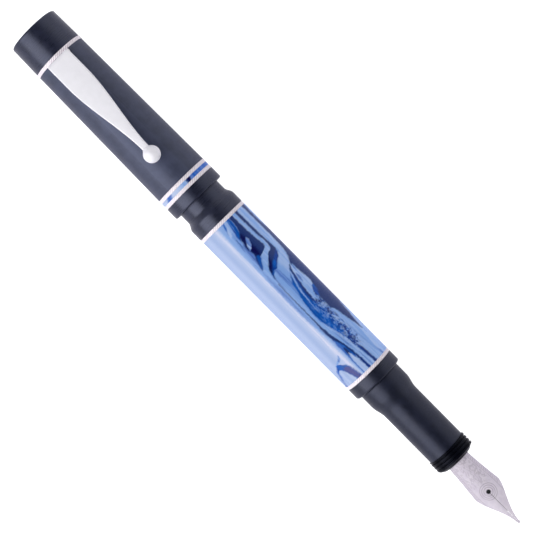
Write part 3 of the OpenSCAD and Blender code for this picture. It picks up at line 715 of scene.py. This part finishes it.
# the second colour is the painted shade between the strands
trim_silver = rope_metal("trim_silver", colour(254, 248, 252), colour(214, 195, 208), 0.55)
clip_silver = metal("clip_silver", colour(249, 247, 252), 0.60, 1.0, metallic=0.15)
blue_swirl = acrylic("blue_swirl", SWIRL_START, SWIRL_SPAN, SWIRL_L, SWIRL, SIDE_STOPS, 3.0, 0.03, LACE)
band_swirl = acrylic("band_swirl", INLAY_X, INLAY_L, INLAY_L, INLAY, INLAY_STOPS, 8.0)
nib_steel = nib_metal()
tipping_metal = metal("tipping_metal", colour(205, 205, 210), 0.22, 0.3)
feed_black = plastic("feed_black", colour(22, 23, 28), 0.45, IOR=1.5)
inner_black = plastic("inner_black", colour(18, 19, 23), 0.4, IOR=1.5)
knob_black = plastic("knob_black", colour(24, 25, 31), 0.38, IOR=1.5)
rod_ivory = plastic("rod_ivory", colour(222, 222, 214), 0.35, IOR=1.49)
seal_rubber = plastic("seal_rubber", colour(30, 31, 34), 0.62, 1.6, IOR=1.45)
liner_brass = brass("liner_brass")
converter_clear = clear_plastic("converter_clear")
converter_chrome = metal("converter_chrome", colour(225, 227, 232), 0.16, 0.3, brushed=True)
screw_steel = metal("screw_steel", colour(180, 182, 188), 0.28, 0.6, brushed=True)


# ---- Turned pieces ----

SLIM = 0.04 * MM


def lathe(node, body, slot, material, outline, segments=192, ripple=None):
    """A turned piece that stands for the CAD node of the same name."""
    piece = finish_mesh(node + "_turned", turned(outline, segments, ripple), body, slot, node)
    dress(piece, material)
    return piece


def rope_ring(node, body, bore):
    """Silver trim ring, cut with slanted strands like a rope."""
    x0, x1, r = start(node), end(node), radius(node)
    edge, depth, steps = 0.1 * MM, 0.11 * MM, 12
    outline = [(x0, bore), (x0, r - edge)]
    outline += [(x0 + edge + (x1 - x0 - 2 * edge) * k / steps, r) for k in range(steps + 1)]
    outline += [(x1, r - edge), (x1, bore)]

    def ripple(x, here, angle):
        if here < r:
            return here
        strand = angle * ROPE_STRANDS / TURN + ROPE_SLANT * x / ROPE_PITCH
        across = 2 * (strand % 1) - 1
        return r - depth * across ** 2

    return lathe(node, body, "trim_silver", trim_silver, outline, ROPE_STRANDS * 8, ripple)


def helix(x0, x1, pitch, root, crest, lead, phase=0.0, top=0.24, flank=0.2):
    """Ripple of a screw thread between two stations, that fades in and out over its lead."""
    def ripple(x, here, angle):
        if abs(here - root) > 1e-7 or not x0 <= x <= x1:
            return here
        turn = (x - x0) / pitch - angle / TURN + phase
        off = abs(turn % 1 - 0.5)
        tooth = 1 - smooth((off - top) / flank)
        fade = smooth((x - x0) / lead) * smooth((x1 - x) / lead)
        return root + (crest - root) * tooth * fade
    return ripple


def rows(x0, x1, r, step):
    count = max(2, round((x1 - x0) / step))
    return [(x0 + (x1 - x0) * k / count, r) for k in range(count + 1)]


# Cap
FINIAL_X = start("cap_finial")
CLIP_RING_X = start("clip_ring")
TUBE_X = end("clip_ring")
STUD_X = end("cap_finial")
INNER_X = start("inner_cap") - GLUE_GAP
INNER_R = radius("inner_cap") + GLUE_GAP
dome = [(FINIAL_X + 0.15 * MM * (k / 5) ** 2, 6.4 * MM * k / 5) for k in range(1, 6)]
lathe("cap_finial", "cap", "end_black", end_black, rounded(
    [(INNER_X, 0), (FINIAL_X, 0)] + dome
    + [(FINIAL_X + 0.2 * MM, FINIAL_END_R, 0.9 * MM), (CLIP_RING_X, CAP_TOP_R, 0.08 * MM),
       (CLIP_RING_X, STUD_R), (STUD_X, STUD_R, 0.2 * MM), (STUD_X, INNER_R),
       (INNER_X, INNER_R)], 8))
rope_ring("clip_ring", "cap", STUD_R)

BAND_X = start("cap_band_upper_ring")
LIP_X = start("cap_lip")
MOUTH_X = end("cap_lip")
LIP_R = radius("cap_lip")
SEAT_X = start("cap_thread_insert") - 0.3 * MM
TENON_END_X = end("cap_tube")
STUD_ROOM_X = STUD_X + 0.15 * MM
cap_tube = lathe("cap_tube", "cap", "cap_black", cap_black, rounded(
    [(TUBE_X, STUD_R + GLUE_GAP), (TUBE_X, CAP_TOP_R, SLIM), (BAND_X, CAP_WIDE_R, SLIM),
     (BAND_X, BAND_BORE_R), (TENON_END_X, BAND_BORE_R), (TENON_END_X, MOUTH_R),
     (SEAT_X, MOUTH_R), (SEAT_X, INNER_R), (STUD_ROOM_X, INNER_R),
     (STUD_ROOM_X, STUD_R + GLUE_GAP)], 4))
for ring in ("cap_band_upper_ring", "cap_band_lower_ring"):
    rope_ring(ring, "cap", BAND_BORE_R)
INLAY_END = end("cap_band_inlay")
INLAY_R = radius("cap_band_inlay")
lathe("cap_band_inlay", "cap", "swirl_acrylic", band_swirl, rounded(
    [(INLAY_X, BAND_BORE_R), (INLAY_X, INLAY_R, 0.1 * MM), (INLAY_END, INLAY_R, 0.1 * MM),
     (INLAY_END, BAND_BORE_R)], 4))
LIP_BORE_X = TENON_END_X + GLUE_GAP
lathe("cap_lip", "cap", "end_black", end_black, rounded(
    [(LIP_X, BAND_BORE_R + GLUE_GAP), (LIP_X, LIP_R, SLIM), (MOUTH_X, LIP_R, 0.45 * MM),
     (MOUTH_X, MOUTH_R, 0.4 * MM), (LIP_BORE_X, MOUTH_R), (LIP_BORE_X, BAND_BORE_R + GLUE_GAP)], 8))

# Barrel
TAIL_X = start("barrel_tail")
REAR_RING_X = start("barrel_rear_ring")
TAIL_COLLAR_X = REAR_RING_X - 3.2 * MM
FLARE_X = TAIL_COLLAR_X - FLARE_L
TAIL_TENON_X = REAR_RING_X + TENON_L
WALL_X = TAIL_X + TAIL_WALL
lathe("barrel_tail", "barrel", "end_black", end_black, rounded(
    [(TAIL_X, 0), (TAIL_X, TAIL_R, 1.2 * MM)]
    + s_curve(FLARE_X, TAIL_COLLAR_X, TAIL_R, BARREL_R)
    + [(REAR_RING_X, BARREL_R, SLIM), (REAR_RING_X, TENON_R), (TAIL_TENON_X, TENON_R, 0.2 * MM),
       (TAIL_TENON_X, TAIL_BORE_R), (WALL_X, TAIL_BORE_R, 0.4 * MM), (WALL_X, 0)], 8))
for ring in ("barrel_rear_ring", "barrel_front_ring"):
    rope_ring(ring, "barrel", LINER_R)
SLEEVE_END = end("barrel_sleeve")
lathe("barrel_sleeve", "barrel", "swirl_acrylic", blue_swirl, rounded(
    [(SLEEVE_X, LINER_R + GLUE_GAP), (SLEEVE_X, BARREL_R, SLIM), (SLEEVE_END, BARREL_R, SLIM),
     (SLEEVE_END, LINER_R + GLUE_GAP)], 3), 256)
COLLAR_X = end("barrel_front_ring")
COLLAR_BACK_X = COLLAR_X - TENON_L
STEP_X = end("barrel_collar")
# the collar wears the painted-shade copy of end_black
lathe("barrel_collar", "barrel", "end_black", collar_shaded_black, rounded(
    [(COLLAR_BACK_X, COLLAR_BORE_R), (COLLAR_BACK_X, TENON_R, 0.2 * MM), (COLLAR_X, TENON_R),
     (COLLAR_X, BARREL_R, SLIM), (STEP_X, BARREL_R, 0.6 * MM), (STEP_X, COLLAR_BORE_R, 0.3 * MM)], 8))

# Section
GRIP_START = start("section_grip")
THREAD_X = end("section_grip")
HOUSING_X = start("feed") - 1.24 * MM
THREAD_START = GRIP_START + 1.0 * MM
THREAD_END = STEP_X - 1.0 * MM
TAPER_X = STEP_X + SHOULDER_L
GRIP_X = TAPER_X + TAPER_L
NOSE_BACK_X = THREAD_X - NOSE_TENON_L
lathe("section_grip", "section", "section_black", section_black, rounded(
    [(GRIP_START, CONVERTER_BORE_R), (GRIP_START, SECTION_ROOT_R)]
    + rows(THREAD_START, THREAD_END, SECTION_ROOT_R, 0.1 * MM)
    + [(STEP_X, SECTION_ROOT_R), (STEP_X, SHOULDER_R, 0.25 * MM)]
    + s_curve(TAPER_X - 0.8 * MM, GRIP_X, SHOULDER_R, GRIP_R)
    + [(THREAD_X, GRIP_R, SLIM), (THREAD_X, NOSE_TENON_R + GLUE_GAP),
       (NOSE_BACK_X, NOSE_TENON_R + GLUE_GAP), (NOSE_BACK_X, HOUSING_BORE_R),
       (HOUSING_X - 0.3 * MM, HOUSING_BORE_R), (HOUSING_X - 0.3 * MM, CONVERTER_BORE_R)], 6), 192,
    helix(THREAD_START, THREAD_END, 1.1 * MM, SECTION_ROOT_R, SECTION_THREAD_R, 0.5 * MM))

NOSE_ROOT_R = GRIP_R - 0.02 * MM
NOSE_START = NOSE_X - NOSE_L
lathe("section_nose", "section", "thread_black", thread_black, rounded(
    [(NOSE_BACK_X + GLUE_GAP, HOUSING_BORE_R), (NOSE_BACK_X + GLUE_GAP, NOSE_TENON_R),
     (THREAD_X, NOSE_TENON_R)]
    + rows(THREAD_X, NOSE_START + 0.1 * MM, NOSE_ROOT_R, 0.05 * MM)
    + [(NOSE_X, NOSE_R, 0.35 * MM), (NOSE_X, HOUSING_BORE_R, 0.1 * MM)], 6), 256,
    helix(THREAD_X, NOSE_START + 0.1 * MM, 1.03 * MM, NOSE_ROOT_R, THREAD_R, 0.08 * MM, 0.35))

# Converter knob, with flutes for the fingers
KNOB_X = start("converter_knob")
KNOB_NECK_END = end("converter_knob")
KNOB_END = KNOB_NECK_END - 2.4 * MM
KNOB_R = radius("converter_knob")
KNOB_NECK_R = 2.65 * MM
SCREW_R = 1.1 * MM
KNOB_WALL_X = KNOB_X + 3 * MM


def fluted(x, here, angle):
    if here < KNOB_R - 1e-7:
        return here
    fade = smooth((x - KNOB_X - 1.2 * MM) / MM) * smooth((KNOB_END - 1.0 * MM - x) / MM)
    return here - 0.16 * MM * fade * max(0, math.cos(18 * angle)) ** 2


lathe("converter_knob", "converter_knob", "knob_plastic", knob_black, rounded(
    [(KNOB_X, 0), (KNOB_X, KNOB_R, 0.6 * MM)]
    + rows(KNOB_X + 0.8 * MM, KNOB_END - 0.5 * MM, KNOB_R, 0.3 * MM)
    + [(KNOB_END, KNOB_R, 0.2 * MM), (KNOB_END, KNOB_NECK_R), (KNOB_NECK_END, KNOB_NECK_R, 0.1 * MM),
       (KNOB_NECK_END, SCREW_R), (KNOB_WALL_X, SCREW_R), (KNOB_WALL_X, 0)], 6), 216, fluted)

# ---- Clip ----

CLIP_ROOT_X = start("clip")
CLIP_REACH = 35.45 * MM
CLIP_T = 0.9 * MM
TAB_L = 1.0 * MM
BALL_R = 2.37 * MM
BALL_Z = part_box("clip")[1].z - BALL_R
BLADE_Z = AXIS_Z + 8.575 * MM + CLIP_T / 2
TAB_R = 7.02 * MM
CLIP_W = radius("clip") * 2
NECK_W = 1.95 * MM
TAPER_RANGE = (7.6 * MM, 33.8 * MM)
BALL_X = CLIP_ROOT_X + CLIP_REACH


def soft_max(a, b, blend):
    near = max(blend - abs(a - b), 0) / blend
    return max(a, b) + near * near * blend / 4


def rounded_section(half_w, half_h, corner, steps=6):
    """Points (across, up) of a rounded rectangle."""
    points = []
    for side_w, side_h, turn in ((1, 1, 0), (-1, 1, 1), (-1, -1, 2), (1, -1, 3)):
        for k in range(steps + 1):
            angle = math.pi / 2 * (turn + k / steps)
            points.append((side_w * (half_w - corner) + corner * math.cos(angle),
                           side_h * (half_h - corner) + corner * math.sin(angle)))
    return points


def clip_sizes(d):
    """Half width, half thickness and corner radius of the clip at distance d from its root."""
    start_d, end_d = TAPER_RANGE
    half_w = (CLIP_W - (CLIP_W - NECK_W) * smooth((d - start_d) / (end_d - start_d))) / 2
    half_h = CLIP_T / 2
    ball = math.sqrt(max(BALL_R ** 2 - (d - CLIP_REACH) ** 2, 0))
    if d > CLIP_REACH:
        return ball, ball, ball
    merge = smooth((ball - half_h) / MM)
    corner = 0.32 * MM
    wide, high = soft_max(half_w, ball, 0.5 * MM), soft_max(half_h, ball, 0.5 * MM)
    if ball < 0.2 * MM:
        wide, high = half_w, half_h
    wide, high = min(wide, max(half_w, BALL_R)), min(high, BALL_R)
    return wide, high, corner + (min(wide, high) - corner) * merge


def clip_mesh():
    slope = math.atan2(BALL_Z - BLADE_Z, CLIP_REACH)
    tab_x = CLIP_ROOT_X + TAB_L / 2
    corner = (tab_x, BLADE_Z, 0.5 * MM)
    path = rounded([(tab_x, AXIS_Z + 7.4 * MM), corner, (BALL_X, BALL_Z)], 10)
    blade = [0.15 * MM * k for k in range(1, 6)] + [1.5 * MM * k for k in range(1, 21)]
    neck = [30.5 * MM + 0.25 * MM * k for k in range(9)]
    ball = [CLIP_REACH - BALL_R * math.cos(math.pi * k / 36) for k in range(36)]
    rings = []
    base = rounded_section(CLIP_W / 2, TAB_L / 2, 0.3 * MM)
    rings.append([(tab_x - up, y, AXIS_Z + math.sqrt(TAB_R ** 2 - y * y)) for y, up in base])
    for (x, z), after in zip(path[:-1], path[1:]):
        along = Vector((after[0] - x, after[1] - z)).normalized()
        turn = along.x
        half = TAB_L / 2 + (CLIP_T - TAB_L) / 2 * turn
        section = rounded_section(CLIP_W / 2, half, 0.3 * MM)
        rings.append([(x - up * along.y, y, z + up * along.x) for y, up in section])
    first = path[-2][0] - CLIP_ROOT_X + 0.1 * MM
    stations = sorted(set(round(d, 6) for d in blade + neck + ball if d > first))
    for d in stations:
        half_w, half_h, round_r = clip_sizes(d)
        section = rounded_section(half_w, half_h, round_r)
        run = d - CLIP_REACH
        x, z = BALL_X + run * math.cos(slope), BALL_Z + run * math.sin(slope)
        rings.append([(x - up * math.sin(slope), y, z + up * math.cos(slope)) for y, up in section])
    return lofted(rings)


clip = finish_mesh("clip_strip", clip_mesh(), "clip", "clip_silver", "clip")
dress(clip, clip_silver)

SLOT_L = TAB_L + 0.45 * MM
SLOT_HALF = CLIP_W / 2 + 0.15 * MM
SLOT_R = TAB_R - 0.12 * MM
slot_floor = [(y, AXIS_Z + math.sqrt(SLOT_R ** 2 - y * y))
              for y in (SLOT_HALF * (k / 12 - 1) for k in range(25))]
slot_profile = [(-SLOT_HALF, AXIS_Z + 9 * MM)] + slot_floor + [(SLOT_HALF, AXIS_Z + 9 * MM)]
cut(cap_tube, lofted([[(x, y, z) for y, z in slot_profile] for x in (TUBE_X - MM, TUBE_X + SLOT_L)]))
dress(cap_tube, cap_black)

# ---- Nib and feed ----

def nib_half(d):
    """Half width of the nib at distance d from the nose."""
    if d < 0:
        return NIB_R
    if d < NIB_SHOULDER:
        return NIB_R + (NIB_W / 2 - NIB_R) * (d / NIB_SHOULDER) ** NIB_SWELL
    narrowed = smooth(((d - NIB_SHOULDER) / (NIB_L - NIB_SHOULDER)) ** NIB_FALL)
    return NIB_POINT_W / 2 + (NIB_W - NIB_POINT_W) / 2 * (1 - narrowed)


def nib_height(d, y, inset):
    """Height over the axis of the nib's sheet, taken in from its outer face by inset."""
    if d <= 0:
        return math.sqrt(max((NIB_R - inset) ** 2 - y * y, 0))
    along = d
    for _ in range(8):
        r = NIB_R - inset + (NIB_TIP_R - NIB_R) * along / NIB_L
        rise = math.sqrt(max(r * r - y * y, 0))
        along = (d - rise * math.sin(NIB_DIP)) / math.cos(NIB_DIP)
    cone = -along * math.sin(NIB_DIP) + rise * math.cos(NIB_DIP)
    blend = smooth(d / (1.5 * MM))
    straight = math.sqrt(max((NIB_R - inset) ** 2 - min(abs(y), NIB_R - inset) ** 2, 0))
    return straight + (cone - straight) * blend


def nib_mesh():
    """The nib's sheet: each ring runs over its outer face and back along its inner one."""
    columns = 64
    shares = [2 * k / columns - 1 for k in range(columns + 1)]
    back = start("nib") - NOSE_X
    places = [back - back * k / 10 for k in range(10)] + [NIB_L * k / 90 for k in range(91)]
    rings = []
    for d in places:
        r = NIB_R + (NIB_TIP_R - NIB_R) * max(d, 0) / NIB_L
        widest = math.asin(min(1, nib_half(d) / r))
        ring = []
        for inset, row in ((0, shares), (NIB_T, shares[::-1])):
            for share in row:
                y = math.sin(widest * share) * (r - inset)
                edge = NIB_EDGE * smooth((abs(share) - 0.95) / 0.05) * (inset == 0) * (d > 0)
                ring.append((NOSE_X + d, y, AXIS_Z + nib_height(d, y, inset) - edge))
        rings.append(ring)
    return lofted(rings)


nib = finish_mesh("nib_blade", nib_mesh(), "nib_unit", "nib_steel", "nib", sharp=50)
breather = bmesh.new()
bmesh.ops.create_cone(breather, cap_ends=True, segments=48, radius1=BREATHER_R, radius2=BREATHER_R,
                      depth=20 * MM)
bmesh.ops.translate(breather, vec=(BREATHER_X, 0, AXIS_Z), verts=breather.verts)
cut(nib, breather)
SLIT_Z = (AXIS_Z - 2 * MM, AXIS_Z + 8 * MM)
# The slit's half widths along the nib
SLIT = [(BREATHER_X, SLIT_W / 2), (NOSE_X + 17 * MM, 0.4 * SLIT_W), (NOSE_X + NIB_L + MM, 0.1 * SLIT_W)]
cut(nib, lofted([[(x, -w, SLIT_Z[0]), (x, w, SLIT_Z[0]), (x, w, SLIT_Z[1]), (x, -w, SLIT_Z[1])]
                 for x, w in SLIT]))
dress(nib, nib_steel)

FEED_R = 2.98 * MM
FEED_STEP_X = -0.6 * MM
FEED_TIP = 19.05 * MM
FIN_START = 0.6 * MM
FIN_PITCH = 1.05 * MM
FIN_SLOT = 0.5 * MM
FIN_CORE = 0.9 * MM
FIN_COUNT = 9
STEP_RUN = 0.01 * MM
# The feed's sections: distance from the nose, half width, height over the axis, half thickness
FEED_SECTIONS = [(-0.1 * MM, 2.96 * MM, 0, 2.96 * MM), (3.5 * MM, 2.88 * MM, -0.35 * MM, 2.88 * MM),
                 (19.1 * MM, 0.9 * MM, 0.7 * MM, 0.45 * MM)]


def feed_ring(d, floor=None):
    """One section of the feed at distance d from the nose; a floor cuts it off below."""
    points = []
    for k in range(72):
        angle = TURN * k / 72
        across, up = math.cos(angle), math.sin(angle)
        if d < FEED_SECTIONS[0][0]:
            r = NIB_R if up < -0.02 and d < FEED_STEP_X else FEED_R
            y, z = r * across, r * up
        else:
            for a, b in zip(FEED_SECTIONS, FEED_SECTIONS[1:]):
                if a[0] <= d <= b[0]:
                    t = (d - a[0]) / (b[0] - a[0])
                    wide, lift, thick = (p + (q - p) * t for p, q in zip(a[1:], b[1:]))
            y, z = wide * across, lift + thick * up
        if floor is not None:
            z = max(z, floor)
        points.append((NOSE_X + d, y, AXIS_Z + z))
    return points


def feed_mesh():
    back = start("feed") - NOSE_X
    before_fins = (back, FEED_STEP_X - STEP_RUN, FEED_STEP_X + STEP_RUN, -0.11 * MM, 0)
    rings = [feed_ring(d) for d in before_fins]
    for i in range(FIN_COUNT):
        first = FIN_START + i * FIN_PITCH
        last = first + FIN_SLOT
        rings += [feed_ring(first), feed_ring(first + STEP_RUN, -FIN_CORE),
                  feed_ring(last - STEP_RUN, -FIN_CORE), feed_ring(last)]
    tail = FIN_START + FIN_COUNT * FIN_PITCH
    rings += [feed_ring(tail + (FEED_TIP - tail) * k / 10) for k in range(1, 11)]
    return lofted(rings)


feed = finish_mesh("feed_fins", feed_mesh(), "nib_unit", "feed_plastic", "feed")
dress(feed, feed_black)

# ---- CAD nodes that are shown as they are ----

CARRIED = {
    "cap_thread_insert": inner_black,
    "inner_cap": inner_black,
    "barrel_liner": liner_brass,
    "nib_housing": feed_black,
    "nib_tipping": tipping_metal,
    "converter_tube": converter_clear,
    "converter_ferrule": converter_chrome,
    "piston_screw": screw_steel,
    "piston_rod": rod_ivory,
    "piston_seal": seal_rubber,
}
for name, material in CARRIED.items():
    dress(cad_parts[name], material)

# ---- Studio ----

FLOOR_HALF = 3.0
FLOOR_GLOW = 0.47
FLOOR_TINT = (0.86, 0.84, 1.0, 1)
PAPER_TINTS = ((0.55, 0.55, 0.56, 1), (0.60, 0.60, 0.61, 1))
SKY_TINT = (0.98, 0.985, 1.0, 1)
BOX_ELEVATION = 46
BOX_EDGE = math.cos(math.radians(38))
BOX_CORE = math.cos(math.radians(16))
BOX_LIGHT = 3.0
FILL_LIGHT = 0.85
SIDE_LIGHT = 1.3

sheet = bmesh.new()
bmesh.ops.create_grid(sheet, x_segments=8, y_segments=8, size=FLOOR_HALF)
floor = placed("floor", mesh_of("floor", sheet))
paper = Graph("paper", Roughness=0.9)
paper.set("Base_Color", paper.mix(paper.noise(paper.place, 0.2, 2), *PAPER_TINTS))
# the camera sees the paper lit to white, and the pen reflects it as the softer, cooler grey that it is
seen = paper.node("LightPath").outputs["Is Camera Ray"]
paper.set("Emission_Color", paper.mix(seen, FLOOR_TINT, (1, 1, 1, 1)))
paper.set("Emission_Strength", paper.ramp(seen, 0.0, 1.0, FLOOR_GLOW, 1.0))
dress(floor, paper.material)


def studio():
    """Soft surroundings: a wide box light on the -Y side, dim overhead and towards the pen's ends."""
    world = bpy.data.worlds.new("studio")
    bpy.context.scene.world = world
    sky = Nodes(world)
    toward = sky.node("TexCoord").outputs["Generated"]
    _, y, z = sky.node("SeparateXYZ", {0: toward}).outputs
    dim = sky.times(sky.ramp(z, 0.35, 0.98, 1.0, 0.22), sky.ramp(sky.times(y, y), 0.0, 0.5, 0.45, 1.0))
    dim = sky.times(dim, sky.ramp(y, 0.1, 0.8, 1.0, SIDE_LIGHT))
    elevation = math.radians(BOX_ELEVATION)
    aim = (0, -math.cos(elevation), math.sin(elevation))
    facing = sky.node("VectorMath", {0: toward, 1: aim}, operation="DOT_PRODUCT").outputs[1]
    strength = sky.plus(sky.times(dim, FILL_LIGHT), sky.ramp(facing, BOX_EDGE, BOX_CORE, 0.0, BOX_LIGHT))
    shade = sky.node("Background", {0: SKY_TINT, 1: strength})
    sky.node("OutputWorld", {0: shade.outputs[0]})


studio()

# ---- Camera: nearly straight above, with the nib at the picture's lower right ----

LENS = 140.2
EYE = Vector((-14.275 * MM, 36 * MM, AXIS_Z + 560 * MM))
TARGET = Vector((-2.525 * MM, -0.01 * MM, AXIS_Z))
LEVEL_RIGHT = Vector((0.7020, 0.7122, 0))

camera = placed("camera", bpy.data.cameras.new("camera"))
camera.data.lens = LENS
camera.data.clip_start = 0.05
ahead = (TARGET - EYE).normalized()
image_right = (LEVEL_RIGHT - ahead * LEVEL_RIGHT.dot(ahead)).normalized()
image_up = image_right.cross(ahead)
camera.matrix_world = Matrix((
    (image_right.x, image_up.x, -ahead.x, EYE.x),
    (image_right.y, image_up.y, -ahead.y, EYE.y),
    (image_right.z, image_up.z, -ahead.z, EYE.z),
    (0, 0, 0, 1)))
bpy.context.scene.camera = camera
bpy.context.scene.view_settings.view_transform = "Standard"
